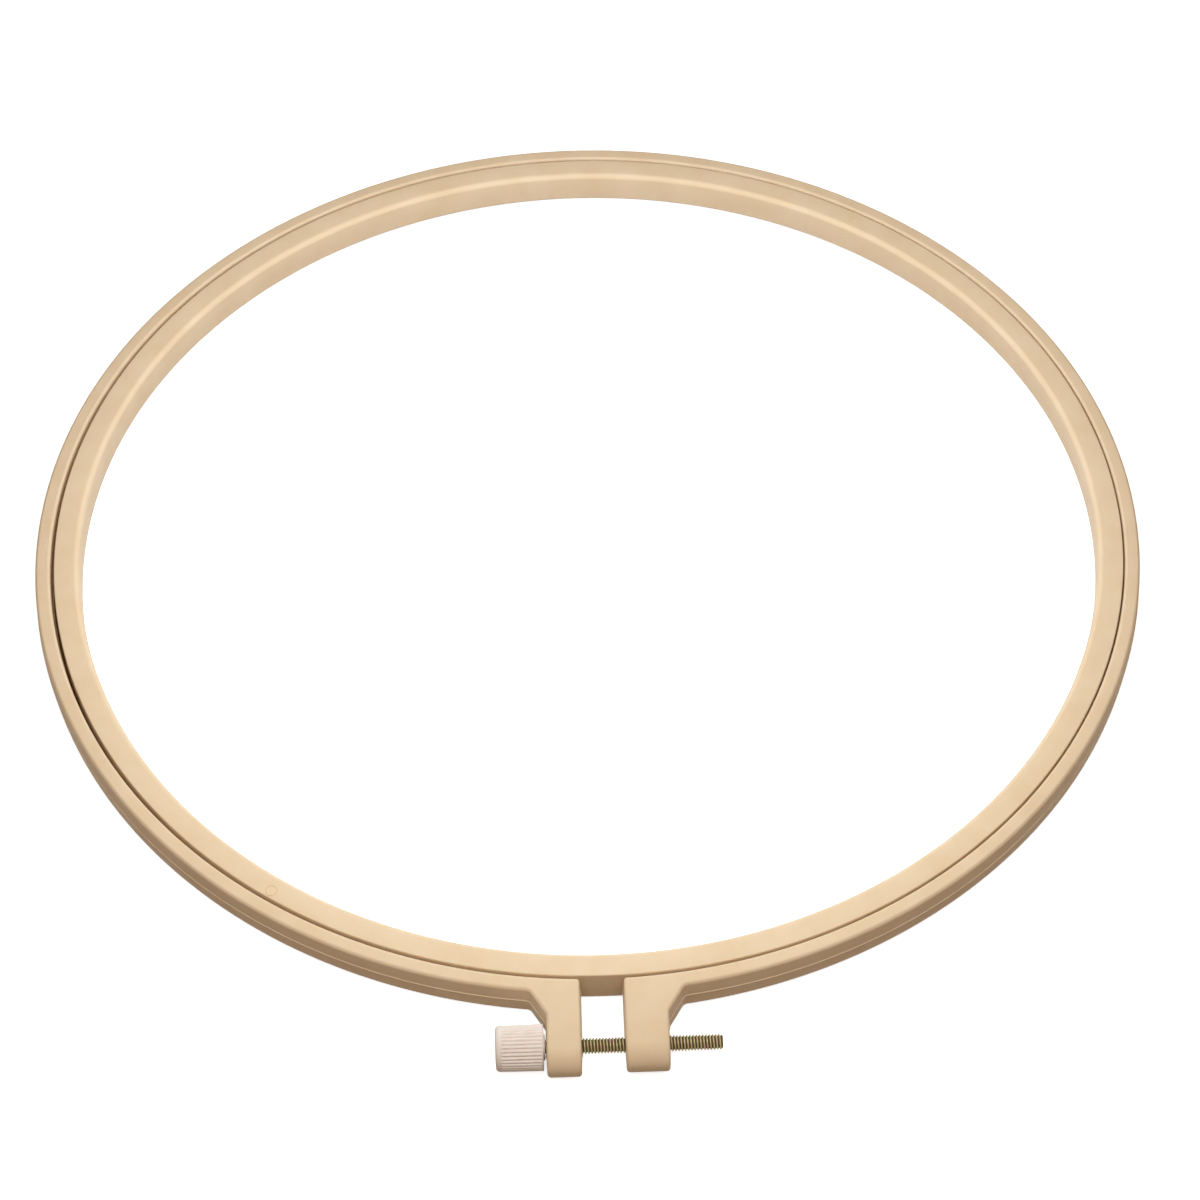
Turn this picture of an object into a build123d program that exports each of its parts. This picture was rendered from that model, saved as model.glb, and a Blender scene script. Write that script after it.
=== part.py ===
"""Embroidery hoop of moulded plastic, 305 mm across: a closed inner hoop inside a split
outer hoop, whose two lugs are drawn together by a thumb screw.

Millimetres, +Z up. The lugs point along -Y, the screw lies along X with its knob at -X.
The origin is the middle of the whole hoop in plan, on the table that it lies on.
"""
from build123d import *
import math
import os

# Outer hoop
hoop_diameter = 305.0
hoop_height = 9.7
outer_wall = 4.5
rim_bevel = 0.7
draft_angle = 2.0

# Inner hoop, which lies a little to one side in the slack outer hoop
fabric_gap = 0.65
inner_wall = 7.0
window_round = 1.5
inner_shift_x = 0.28
inner_shift_y = -0.2

# Lugs of the split: the knob's lug at -X, and the nut's lug at +X, which ends a little sooner.
# The split lies a little to the knob's side of the ring's middle
split_gap = 10.3
split_shift_x = -0.5
knob_lug_reach = 20.2
knob_lug_root = 9.0
knob_lug_tip = 9.3
nut_lug_step = 0.8
nut_lug_root = 11.5
nut_lug_tip = 11.4
gusset_width = 4.1
gusset_reach = 5.7
lug_corner_round = 1.3
gusset_round = 1.2
split_corner_round = 1.2

# Clamp screw, with its head moulded into the knob
screw_edge_distance = 7.9
screw_diameter = 3.9
screw_past_lug = 12.8
screw_end_chamfer = 0.35
screw_hole_clearance = 0.3
head_across_flats = 6.0
head_thickness = 2.8
head_depth_in_knob = 4.2

# Thumb knob
knob_diameter = 11.5
knob_length = 11.8
knob_taper = 0.1
knob_end_bevel = 0.6
knob_lip_bevel = 0.2
knob_plain_end = 1.5
knob_plain_lip = 0.4
flute_count = 36
flute_depth = 0.3
hub_diameter = 6.4
hub_length = 0.4
hub_bevel = 0.15
hub_clearance = 0.15

# Captive nut, pressed into a pocket in the outer side of its lug
nut_across_flats = 7.0
nut_thickness = 3.0
nut_chamfer = 0.45
nut_side_clearance = 0.05
nut_recess = 0.4
thread_clearance = 0.05

# Length by which cutting tools run past what they cut
overrun = 5.0

outer_radius = hoop_diameter / 2
outer_bore_radius = outer_radius - outer_wall
inner_rim_radius = outer_bore_radius - fabric_gap
window_radius = inner_rim_radius - inner_wall
knob_radius = knob_diameter / 2
screw_radius = screw_diameter / 2
half_gap = split_gap / 2
half_height = hoop_height / 2
nut_lug_reach = knob_lug_reach - nut_lug_step
screw_reach = knob_lug_reach - screw_edge_distance

# The knob is the lowest piece, or the hoops are, where they are taller than the knob
middle_z = max(knob_radius, half_height)
ring_y = max(knob_lug_reach, screw_reach + knob_radius) / 2
screw_y = ring_y - outer_radius - screw_reach

ring_plane = Plane((0, ring_y, middle_z))
section_plane = Plane(
    origin=(inner_shift_x, ring_y + inner_shift_y, middle_z), x_dir=(1, 0, 0), z_dir=(0, -1, 0)
)


def split_side(side):
    """The x of one side of the split, where a lug begins."""
    return split_shift_x + side * half_gap


def lug_side(side, root, tip, reach):
    """The x of a lug's outer side, half way up, where the screw crosses it."""
    along = (screw_reach - gusset_reach) / (reach - gusset_reach)
    return split_side(side) + side * (root + (tip - root) * along)


knob_lug_x = lug_side(-1, knob_lug_root, knob_lug_tip, knob_lug_reach)
nut_lug_x = lug_side(1, nut_lug_root, nut_lug_tip, nut_lug_reach)
hub_x = knob_lug_x - hub_clearance
lip_x = hub_x - hub_length
knob_end_x = lip_x - knob_length
head_x = lip_x - head_depth_in_knob
screw_end_x = nut_lug_x + screw_past_lug
nut_floor_x = nut_lug_x - nut_recess - nut_thickness


def across(x):
    """A plane square to the screw's axis at x, facing +X."""
    return Plane(origin=(x, screw_y, middle_z), x_dir=(0, 1, 0), z_dir=(1, 0, 0))


screw_section = Plane(origin=(0, screw_y, middle_z), x_dir=(1, 0, 0), z_dir=(0, -1, 0))
screw_axis = Axis((0, screw_y, middle_z), (1, 0, 0))


def gusset_foot(side, root):
    """Where a lug's gusset meets the ring's outer wall, from the ring's centre."""
    foot_x = split_side(side) + side * (root + gusset_width)
    return foot_x, -math.sqrt(outer_radius**2 - foot_x**2)


def lug_outline(side, root, tip, reach):
    """Plan of one lug with its gusset, from inside the ring out to its end."""
    ring_middle = outer_radius - outer_wall / 2
    split_x = split_side(side)
    corners = [
        (split_x, -ring_middle),
        (split_x, -outer_radius - reach),
        (split_x + side * tip, -outer_radius - reach),
        (split_x + side * root, -outer_radius - gusset_reach),
        gusset_foot(side, root),
        (split_x + side * root, -ring_middle),
    ]
    with BuildSketch() as outline:
        with BuildLine():
            Polyline(corners, close=True)
        make_face()
        fillet(outline.vertices().sort_by(Axis.Y)[:2], lug_corner_round)
        fillet(outline.vertices().sort_by_distance(corners[3])[:1], gusset_round)
    return outline.sketch


def draw_hexagon(across_flats):
    """A hexagon with two of its flats level, drawn in the current sketch."""
    RegularPolygon(across_flats / 2, 6, major_radius=False)


knob_lug = lug_outline(-1, knob_lug_root, knob_lug_tip, knob_lug_reach)
nut_lug = lug_outline(1, nut_lug_root, nut_lug_tip, nut_lug_reach)

# Outer hoop: one plan of ring, lugs and gussets, drawn up and down from the mould's
# parting line with draft on every wall
with BuildPart() as outer_hoop:
    with BuildSketch(ring_plane) as plan:
        Circle(outer_radius)
        Circle(outer_bore_radius, mode=Mode.SUBTRACT)
        add(knob_lug)
        add(nut_lug)
        slot_length = knob_lug_reach + outer_wall + overrun + overrun
        with Locations((split_shift_x, -outer_radius + outer_wall + overrun)):
            Rectangle(split_gap, slot_length, align=(Align.CENTER, Align.MAX), mode=Mode.SUBTRACT)
        for side, root in ((-1, knob_lug_root), (1, nut_lug_root)):
            foot = plan.vertices().sort_by_distance(gusset_foot(side, root))[:1]
            fillet(foot, gusset_round)
            split_x = split_side(side)
            bore_end = (split_x, -math.sqrt(outer_bore_radius**2 - split_x**2))
            fillet(plan.vertices().sort_by_distance(bore_end)[:1], split_corner_round)
    extrude(amount=half_height, both=True, taper=draft_angle)
    for rim in (-1, 0):
        chamfer(outer_hoop.faces().sort_by(Axis.Z)[rim].edges(), rim_bevel)
    # Each lug ends in a half-round nose, as high as the hoop
    lugs = ((-1, knob_lug_root, knob_lug_reach), (1, nut_lug_root, nut_lug_reach))
    for side, root, reach in lugs:
        nose_y = ring_y - outer_radius - reach + half_height
        split_middle = (split_shift_x, nose_y, middle_z)
        nose_section = Plane(origin=split_middle, x_dir=(0, -1, 0), z_dir=(side, 0, 0))
        with BuildSketch(nose_section):
            room = (half_height + overrun, hoop_height + overrun)
            Rectangle(*room, align=(Align.MIN, Align.CENTER))
            Circle(half_height, mode=Mode.SUBTRACT)
        extrude(amount=half_gap + root + overrun, mode=Mode.SUBTRACT)
    # Clearance hole through both lugs
    with BuildSketch(across(knob_lug_x - overrun)):
        Circle(screw_radius + screw_hole_clearance)
    extrude(amount=nut_lug_x - knob_lug_x + overrun + overrun, mode=Mode.SUBTRACT)
    # Hexagonal pocket for the nut, open on the lug's outer side
    with BuildSketch(across(nut_floor_x)):
        draw_hexagon(nut_across_flats + nut_side_clearance * 2)
    extrude(amount=nut_thickness + nut_recess + overrun, mode=Mode.SUBTRACT)

# Inner hoop: a closed ring turned from its drafted and rounded section
with BuildPart() as inner_hoop:
    with BuildSketch(section_plane) as section:
        draft_inset = half_height * math.tan(math.radians(draft_angle))
        with BuildLine():
            Polyline(
                (inner_rim_radius, 0),
                (inner_rim_radius - draft_inset, half_height),
                (window_radius + draft_inset, half_height),
                (window_radius, 0),
                (window_radius + draft_inset, -half_height),
                (inner_rim_radius - draft_inset, -half_height),
                close=True,
            )
        make_face()
        # The window's upper edge is rounded, and the other rims are bevelled
        fillet(section.vertices().group_by(Axis.Y)[-1].sort_by(Axis.X)[:1], window_round)
        chamfer(section.vertices().group_by(Axis.Y)[-1].sort_by(Axis.X)[-1:], rim_bevel)
        chamfer(section.vertices().group_by(Axis.Y)[0], rim_bevel)
    revolve(axis=Axis(section_plane.origin, (0, 0, 1)))

# Clamp screw: a rod with a chamfered end and a hexagonal head
with BuildPart() as clamp_screw:
    with BuildSketch(across(head_x)):
        Circle(screw_radius)
    extrude(amount=screw_end_x - head_x)
    chamfer(clamp_screw.edges().sort_by(Axis.X)[-1:], screw_end_chamfer)
    with BuildSketch(across(head_x - head_thickness)):
        draw_hexagon(head_across_flats)
    extrude(amount=head_thickness)

# Thumb knob: a tapered barrel with a short hub, fluted between its plain end and its lip
with BuildPart() as thumb_knob:
    with BuildSketch(screw_section) as barrel:
        with BuildLine():
            Polyline(
                (knob_end_x, 0),
                (knob_end_x, knob_radius - knob_taper),
                (lip_x - knob_plain_lip, knob_radius),
                (lip_x, knob_radius),
                (lip_x, hub_diameter / 2),
                (hub_x, hub_diameter / 2),
                (hub_x, 0),
                close=True,
            )
        make_face()
        end_corner = (knob_end_x, knob_radius - knob_taper)
        chamfer(barrel.vertices().sort_by_distance(end_corner)[:1], knob_end_bevel)
        chamfer(barrel.vertices().sort_by_distance((lip_x, knob_radius))[:1], knob_lip_bevel)
        chamfer(barrel.vertices().sort_by_distance((hub_x, hub_diameter / 2))[:1], hub_bevel)
    revolve(axis=screw_axis)
    # Each flute is a right-angled groove, cut by one corner of a square rod
    flute_length = knob_length - knob_plain_end - knob_plain_lip
    flute_side = flute_depth * math.sqrt(2)
    with BuildSketch(across(knob_end_x + knob_plain_end)):
        with PolarLocations(knob_radius, flute_count):
            Rectangle(flute_side, flute_side, rotation=45)
    extrude(amount=flute_length, mode=Mode.SUBTRACT)
    # The plastic is moulded round the screw's head and neck
    with BuildSketch(across(head_x - head_thickness)):
        draw_hexagon(head_across_flats)
    extrude(amount=head_thickness, mode=Mode.SUBTRACT)
    with BuildSketch(across(head_x)):
        Circle(screw_radius)
    extrude(amount=hub_x - head_x, mode=Mode.SUBTRACT)

# Captive nut: a hexagon with turned corners
with BuildPart() as captive_nut:
    with BuildSketch(across(nut_floor_x)):
        draw_hexagon(nut_across_flats)
        Circle(screw_radius + thread_clearance, mode=Mode.SUBTRACT)
    extrude(amount=nut_thickness)
    corner_radius = nut_across_flats / math.sqrt(3)
    with BuildSketch(screw_section):
        with BuildLine():
            Polyline(
                (nut_floor_x, 0),
                (nut_floor_x, corner_radius - nut_chamfer),
                (nut_floor_x + nut_chamfer / 2, corner_radius),
                (nut_floor_x + nut_thickness - nut_chamfer / 2, corner_radius),
                (nut_floor_x + nut_thickness, corner_radius - nut_chamfer),
                (nut_floor_x + nut_thickness, 0),
                close=True,
            )
        make_face()
    revolve(axis=screw_axis, mode=Mode.INTERSECT)

outer_hoop.part.label = "outer_hoop"
inner_hoop.part.label = "inner_hoop"
clamp_screw.part.label = "clamp_screw"
thumb_knob.part.label = "thumb_knob"
captive_nut.part.label = "captive_nut"

os.makedirs("parts", exist_ok=True)
export_step(outer_hoop.part, "parts/outer_hoop.step")
export_step(inner_hoop.part, "parts/inner_hoop.step")
export_step(clamp_screw.part, "parts/clamp_screw.step")
export_step(thumb_knob.part, "parts/thumb_knob.step")
export_step(captive_nut.part, "parts/captive_nut.step")
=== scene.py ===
"""Looks of a round embroidery hoop of moulded plastic, with its clamp screw and thumb knob.

Pieces are modelled in millimetres round their own middle. A finished piece is then set down
in the frame, in metres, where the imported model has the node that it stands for.
"""

from __future__ import annotations

import logging
import math
from collections.abc import Callable, Sequence
from dataclasses import dataclass
from enum import Enum

import bmesh
import bpy
from mathutils import Matrix, Vector

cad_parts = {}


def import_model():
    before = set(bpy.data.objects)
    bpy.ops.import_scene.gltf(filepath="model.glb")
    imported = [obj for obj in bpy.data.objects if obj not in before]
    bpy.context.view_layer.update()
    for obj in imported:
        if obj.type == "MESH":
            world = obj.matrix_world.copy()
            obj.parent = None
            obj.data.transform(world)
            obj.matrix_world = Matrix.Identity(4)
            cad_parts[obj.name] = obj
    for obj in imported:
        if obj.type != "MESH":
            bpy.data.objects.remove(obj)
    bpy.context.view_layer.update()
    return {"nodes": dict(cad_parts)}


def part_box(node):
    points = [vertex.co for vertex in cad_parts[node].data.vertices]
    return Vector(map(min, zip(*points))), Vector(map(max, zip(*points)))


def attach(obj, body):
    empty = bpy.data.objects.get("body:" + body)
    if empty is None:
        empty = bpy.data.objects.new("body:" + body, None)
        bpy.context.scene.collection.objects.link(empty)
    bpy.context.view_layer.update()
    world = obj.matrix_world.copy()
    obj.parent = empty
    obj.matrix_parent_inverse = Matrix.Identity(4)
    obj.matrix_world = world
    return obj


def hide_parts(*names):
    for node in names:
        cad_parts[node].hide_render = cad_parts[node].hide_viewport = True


MM = 0.001
TURN = math.tau

# How near a place has to be to count as the one that is looked for, in millimetres
MERGE_ROOM = 0.0005
POINT_ROOM = 0.001
ARC_ROOM = 0.01
CORNER_ROOM = 0.02

# How much of a face's normal points along an axis, for a face that is square to it, roughly
# square to it, or stands alongside it
SQUARE_ON = 0.9999
FACING = 0.9
ALONGSIDE = 0.1

HEXAGON = 6
WHITE = (1.0, 1.0, 1.0)

Colour = tuple[float, float, float]
PlaceTest = Callable[[Vector], bool]
FaceTest = Callable[[Vector, Vector], bool]
Socket = bpy.types.NodeSocket

log = logging.getLogger("embroidery_hoop")


def linear(red: int, green: int, blue: int) -> Colour:
    """Turns a colour as a screen shows it into the linear colour of a shader.

    Args:
        red: The red, from 0 to 255.
        green: The green.
        blue: The blue.

    Returns:
        The linear colour.
    """
    most, toe_end, toe_slope, lift, power = 255, 0.04045, 12.92, 0.055, 2.4
    shares = [value / most for value in (red, green, blue)]
    return tuple(
        share / toe_slope if share <= toe_end else ((share + lift) / (1 + lift)) ** power
        for share in shares
    )


class Side(Enum):
    """The two sides of the split, by the sign of x."""

    KNOB = -1
    NUT = 1


class Bend(Enum):
    """The corners of a lug's outline that are rounded after it is drawn."""

    GUSSET_FOOT = "gusset foot"
    GUSSET_TOP = "gusset top"
    SPLIT_CORNER = "split corner"


class Wall(Enum):
    """The inner hoop's two walls, by the side of its section that they stand on."""

    WINDOW = -1
    GROOVE = 1


class Cut(Enum):
    """What a tool leaves of a piece: what lies outside the tool, or inside it."""

    OUTSIDE = "DIFFERENCE"
    INSIDE = "INTERSECT"


# Hand tools: small steps that every piece is modelled with


def on_orbit(orbit: float, degrees: float, height: float) -> Vector:
    """The place at a distance from the upright axis, an angle round it and a height."""
    angle = math.radians(degrees)
    return Vector((orbit * math.cos(angle), orbit * math.sin(angle), height))


def deselect_all() -> None:
    """Deselects every object, so that an operator acts on the next piece alone."""
    if bpy.context.object and bpy.context.object.mode != "OBJECT":
        bpy.ops.object.mode_set(mode="OBJECT")
    bpy.ops.object.select_all(action="DESELECT")


def take_up(piece: bpy.types.Object) -> None:
    """Makes one piece the only one that is selected and active.

    Args:
        piece: The piece.
    """
    deselect_all()
    piece.select_set(True)
    bpy.context.view_layer.objects.active = piece


def name_new_piece(name: str) -> bpy.types.Object:
    """Names the primitive that was just added, and its mesh.

    Args:
        name: The name.

    Returns:
        The new piece.
    """
    piece = bpy.context.object
    piece.name = name
    piece.data.name = name
    return piece


def add_cylinder(
    name: str, sides: int, radius: float, foot: float, top: float
) -> bpy.types.Object:
    """Adds an upright cylinder round the middle, and leaves it in edit mode.

    Args:
        name: The piece's name.
        sides: How many sides it has.
        radius: Its radius, out to its corners.
        foot: The height at which it begins.
        top: The height at which it ends.

    Returns:
        The new piece.
    """
    deselect_all()
    bpy.ops.mesh.primitive_cylinder_add(
        vertices=sides, radius=radius, depth=top - foot, location=(0, 0, (foot + top) / 2)
    )
    piece = name_new_piece(name)
    bpy.ops.object.transform_apply(location=True)
    bpy.ops.object.mode_set(mode="EDIT")
    return piece


def start_point(name: str, place: Sequence[float]) -> bpy.types.Object:
    """Starts a piece as one vertex, and leaves it in edit mode with that vertex selected.

    Args:
        name: The piece's name.
        place: Where the vertex lies.

    Returns:
        The new piece.
    """
    deselect_all()
    bpy.ops.mesh.primitive_plane_add(size=1)
    piece = name_new_piece(name)
    bpy.ops.object.mode_set(mode="EDIT")
    bpy.ops.mesh.select_mode(type="VERT")
    bpy.ops.mesh.merge(type="CENTER")
    bpy.ops.transform.translate(value=place)
    return piece


def select_vertices(piece: bpy.types.Object, test: PlaceTest) -> None:
    """Selects the vertices of a piece in edit mode whose place passes a test.

    Args:
        piece: The piece in edit mode.
        test: Says whether a vertex at a place is wanted.
    """
    bpy.ops.mesh.select_mode(type="VERT")
    bpy.ops.mesh.select_all(action="DESELECT")
    shape = bmesh.from_edit_mesh(piece.data)
    for vertex in shape.verts:
        vertex.select_set(test(vertex.co))
    shape.select_flush_mode()
    bmesh.update_edit_mesh(piece.data)


def select_faces(piece: bpy.types.Object, test: FaceTest) -> None:
    """Selects the faces of a piece in edit mode by their middle and normal.

    Args:
        piece: The piece in edit mode.
        test: Says whether a face with a middle and a normal is wanted.
    """
    bpy.ops.mesh.select_mode(type="FACE")
    bpy.ops.mesh.select_all(action="DESELECT")
    shape = bmesh.from_edit_mesh(piece.data)
    shape.normal_update()
    for face in shape.faces:
        face.select_set(test(face.calc_center_median(), face.normal))
    bmesh.update_edit_mesh(piece.data)


def draw_on(here: Sequence[float], points: Sequence[Sequence[float]]) -> None:
    """Draws edges on from the selected vertex, through points.

    Args:
        here: Where the selected vertex lies.
        points: The further points, in order.
    """
    last = Vector(here)
    for point in points:
        step = Vector(point) - last
        bpy.ops.mesh.extrude_vertices_move(TRANSFORM_OT_translate={"value": step})
        last = Vector(point)


def round_corner(piece: bpy.types.Object, corner: Vector, cut: float, steps: int) -> None:
    """Rounds the vertex of a flat outline that lies at a place.

    Args:
        piece: The piece in edit mode.
        corner: Where the corner lies.
        cut: How far back along both edges the rounding starts.
        steps: How many edges the rounding has.
    """
    round_profile = 0.5
    select_vertices(piece, lambda place: (place - corner).length < CORNER_ROOM)
    bpy.ops.mesh.bevel(
        affect="VERTICES",
        offset_type="OFFSET",
        offset=cut,
        segments=steps,
        profile=round_profile,
    )


def finish_modifier(piece: bpy.types.Object, kind: str, **settings: object) -> None:
    """Adds a modifier to a piece and applies it.

    Args:
        piece: The piece.
        kind: The modifier's type.
        **settings: Its values.
    """
    take_up(piece)
    modifier = piece.modifiers.new(kind.title(), kind)
    for key, value in settings.items():
        setattr(modifier, key, value)
    bpy.ops.object.modifier_apply(modifier=modifier.name)


def carve(piece: bpy.types.Object, tool: bpy.types.Object, kept: Cut) -> None:
    """Cuts a piece with a tool and removes the tool.

    Args:
        piece: The piece.
        tool: The closed mesh that cuts.
        kept: What is kept of the piece.
    """
    finish_modifier(piece, "BOOLEAN", object=tool, operation=kept.value, solver="EXACT")
    bpy.data.objects.remove(tool)


def weld(piece: bpy.types.Object) -> None:
    """Merges doubled vertices of a piece and turns all of its faces outwards.

    Args:
        piece: The piece, in object mode.
    """
    take_up(piece)
    bpy.ops.object.mode_set(mode="EDIT")
    bpy.ops.mesh.select_all(action="SELECT")
    bpy.ops.mesh.remove_doubles(threshold=MERGE_ROOM)
    bpy.ops.mesh.normals_make_consistent(inside=False)
    if bmesh.from_edit_mesh(piece.data).calc_volume(signed=True) < 0:
        bpy.ops.mesh.flip_normals()
    bpy.ops.object.mode_set(mode="OBJECT")


def smooth(piece: bpy.types.Object, sharp_degrees: float) -> None:
    """Shades a piece smooth up to an angle, and lets its large faces stay flat.

    Args:
        piece: The piece.
        sharp_degrees: Edges that bend by more than this stay sharp.
    """
    large_face_weight = 80
    take_up(piece)
    bpy.ops.object.shade_smooth_by_angle(angle=math.radians(sharp_degrees))
    finish_modifier(
        piece, "WEIGHTED_NORMAL", mode="FACE_AREA", weight=large_face_weight, keep_sharp=True
    )


def set_down(piece: bpy.types.Object, place: Vector, along_x: bool) -> None:
    """Brings a piece from millimetres to its place in the frame, and leaves that in its mesh.

    Args:
        piece: The piece, modelled round its own middle.
        place: Where that middle goes, in metres.
        along_x: Whether the piece was modelled standing up and lies along x.
    """
    take_up(piece)
    piece.location = place
    piece.rotation_euler = (0, TURN / 4 if along_x else 0, 0)
    piece.scale = (MM, MM, MM)
    bpy.ops.object.transform_apply(location=True, rotation=True, scale=True)


def report(piece: bpy.types.Object) -> None:
    """Logs how large a piece is and how many faces it has.

    Args:
        piece: The finished piece.
    """
    lowest_corner, highest_corner = 0, 6
    low = Vector(piece.bound_box[lowest_corner])
    high = Vector(piece.bound_box[highest_corner])
    size = " x ".join(f"{value / MM:.1f}" for value in high - low)
    log.info("%s: %s mm, %d faces", piece.name, size, len(piece.data.polygons))


@dataclass(frozen=True)
class Fitting:
    """Where a piece belongs: the body it rides on, the node it replaces and its finish's slot.

    It also says how the piece is finished. Edges that bend by more than sharp_degrees stay
    sharp, and a piece that lies along x is modelled standing up.
    """

    body: str
    node: str
    slot: str
    sharp_degrees: float = 32.0
    along_x: bool = False

    def install(
        self, piece: bpy.types.Object, place: Vector, material: bpy.types.Material
    ) -> bpy.types.Object:
        """Smooths a modelled piece, sets it down, dresses it and ties it to the frame.

        Args:
            piece: The piece, modelled round its own middle.
            place: Where that middle goes, in metres.
            material: Its finish.

        Returns:
            The finished piece.
        """
        smooth(piece, self.sharp_degrees)
        set_down(piece, place, self.along_x)
        piece.data.materials.clear()
        piece.data.materials.append(material)
        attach(piece, self.body)
        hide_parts(self.node)
        return piece


# Finishes


def opaque(colour: Colour | Socket) -> tuple[float, float, float, float] | Socket:
    """Gives a plain colour its alpha, and passes a socket on as it is."""
    return (*colour, 1.0) if isinstance(colour, tuple) else colour


class Sheet:
    """The node sheet of a material or of the world, with short ways to add and join nodes."""

    # The sockets of a Mix node that mixes colours
    SHARE, FIRST, SECOND, MIXED = 0, 6, 7, 2

    def __init__(self, owner: bpy.types.Material | bpy.types.World, output: str) -> None:
        """Clears the owner's sheet and starts it anew.

        Args:
            owner: The material or the world.
            output: The type of its output node.
        """
        owner.use_nodes = True
        self.owner = owner
        self.tree = owner.node_tree
        self.tree.nodes.clear()
        self.output = self.add(output, {})
        self.coordinates = self.add("ShaderNodeTexCoord", {}).outputs
        self.place = self.coordinates["Object"]

    def add(self, kind: str, inputs: dict[str | int, object], **settings: object) -> bpy.types.Node:
        """Adds a node.

        Args:
            kind: The node's type.
            inputs: A value, or the socket that feeds it, for each input.
            **settings: The node's own values.

        Returns:
            The node.
        """
        node = self.tree.nodes.new(kind)
        for key, value in settings.items():
            setattr(node, key, value)
        for key, value in inputs.items():
            if isinstance(value, Socket):
                self.tree.links.new(value, node.inputs[key])
            else:
                node.inputs[key].default_value = value
        return node

    def noise(self, size: float, detail: float) -> Socket:
        """Cloudy noise of 0 to 1, whose patches are about as large as size, in millimetres."""
        inputs = {"Vector": self.place, "Scale": 1 / (size * MM), "Detail": detail}
        return self.add("ShaderNodeTexNoise", inputs).outputs["Fac"]

    def spread(self, value: Socket, low: float, high: float, out: tuple[float, float]) -> Socket:
        """Stretches a range of values over another range, and clamps the rest.

        Args:
            value: The values.
            low: Where the range begins.
            high: Where it ends.
            out: What low and high become.

        Returns:
            The stretched values.
        """
        inputs = {"Value": value, "From Min": low, "From Max": high}
        inputs |= {"To Min": out[0], "To Max": out[1]}
        return self.add("ShaderNodeMapRange", inputs).outputs["Result"]

    def reckon(self, operation: str, *values: Socket | float, clamp: bool = False) -> Socket:
        """Works out a number from others.

        Args:
            operation: The Math node's operation.
            *values: What it works on.
            clamp: Whether the result is kept between 0 and 1.

        Returns:
            The result.
        """
        inputs = dict(enumerate(values))
        node = self.add("ShaderNodeMath", inputs, operation=operation, use_clamp=clamp)
        return node.outputs[0]

    def blend(self, share: Socket, first: Colour | Socket, second: Colour | Socket) -> Socket:
        """Mixes two colours: a share of 0 gives the first, and 1 the second."""
        inputs = {self.SHARE: share, self.FIRST: opaque(first), self.SECOND: opaque(second)}
        return self.add("ShaderNodeMix", inputs, data_type="RGBA").outputs[self.MIXED]

    def bump(self, height: Socket, depth: float, below: Socket | None = None) -> Socket:
        """Raises the surface.

        Args:
            height: How high each place is, from 0 to 1.
            depth: How much 1 is, in millimetres.
            below: A coarser bump that this one lies on.

        Returns:
            The normal.
        """
        inputs = {"Height": height, "Distance": depth * MM, "Strength": 1.0}
        if below is not None:
            inputs["Normal"] = below
        return self.add("ShaderNodeBump", inputs).outputs["Normal"]

    def seen_share(self) -> Socket:
        """Tells what is seen from what only bounces light on.

        Returns:
            1 for the camera's, glossy and transmission rays, and 0 for all others.
        """
        rays = self.add("ShaderNodeLightPath", {}).outputs
        share = rays["Is Camera Ray"]
        for name in ("Is Glossy Ray", "Is Transmission Ray"):
            share = self.reckon("MAXIMUM", share, rays[name])
        return share

    def close(self, shader: bpy.types.Node) -> bpy.types.Material | bpy.types.World:
        """Joins the shader to the output and returns the sheet's owner."""
        self.tree.links.new(shader.outputs[0], self.output.inputs["Surface"])
        return self.owner


def new_material_sheet(name: str) -> Sheet:
    """Starts a material."""
    return Sheet(bpy.data.materials.new(name), "ShaderNodeOutputMaterial")


@dataclass(frozen=True)
class Patches:
    """Noise patches: size in millimetres, detail, where they set in and where they are full."""

    size: float
    detail: float
    begins: float
    full: float
    most: float = 1.0

    def share(self, sheet: Sheet) -> Socket:
        """How much of the patches' own colour each place has."""
        noise = sheet.noise(self.size, self.detail)
        return sheet.spread(noise, self.begins, self.full, (0.0, self.most))


@dataclass(frozen=True)
class Grain:
    """Fine grain: size and depth in millimetres, and the roughness of its dips and its tops."""

    size: float
    depth: float
    roughness: tuple[float, float]
    detail: float = 3.0
    dips: float = 0.3
    tops: float = 0.7

    def inputs(self, sheet: Sheet, below: Socket | None = None) -> dict[str, Socket]:
        """Makes the grain's roughness and normal.

        Args:
            sheet: The finish's sheet.
            below: A coarser bump that the grain lies on.

        Returns:
            Both, by the names of the shader's inputs.
        """
        noise = sheet.noise(self.size, self.detail)
        return {
            "Roughness": sheet.spread(noise, self.dips, self.tops, self.roughness),
            "Normal": sheet.bump(noise, self.depth, below),
        }


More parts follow.
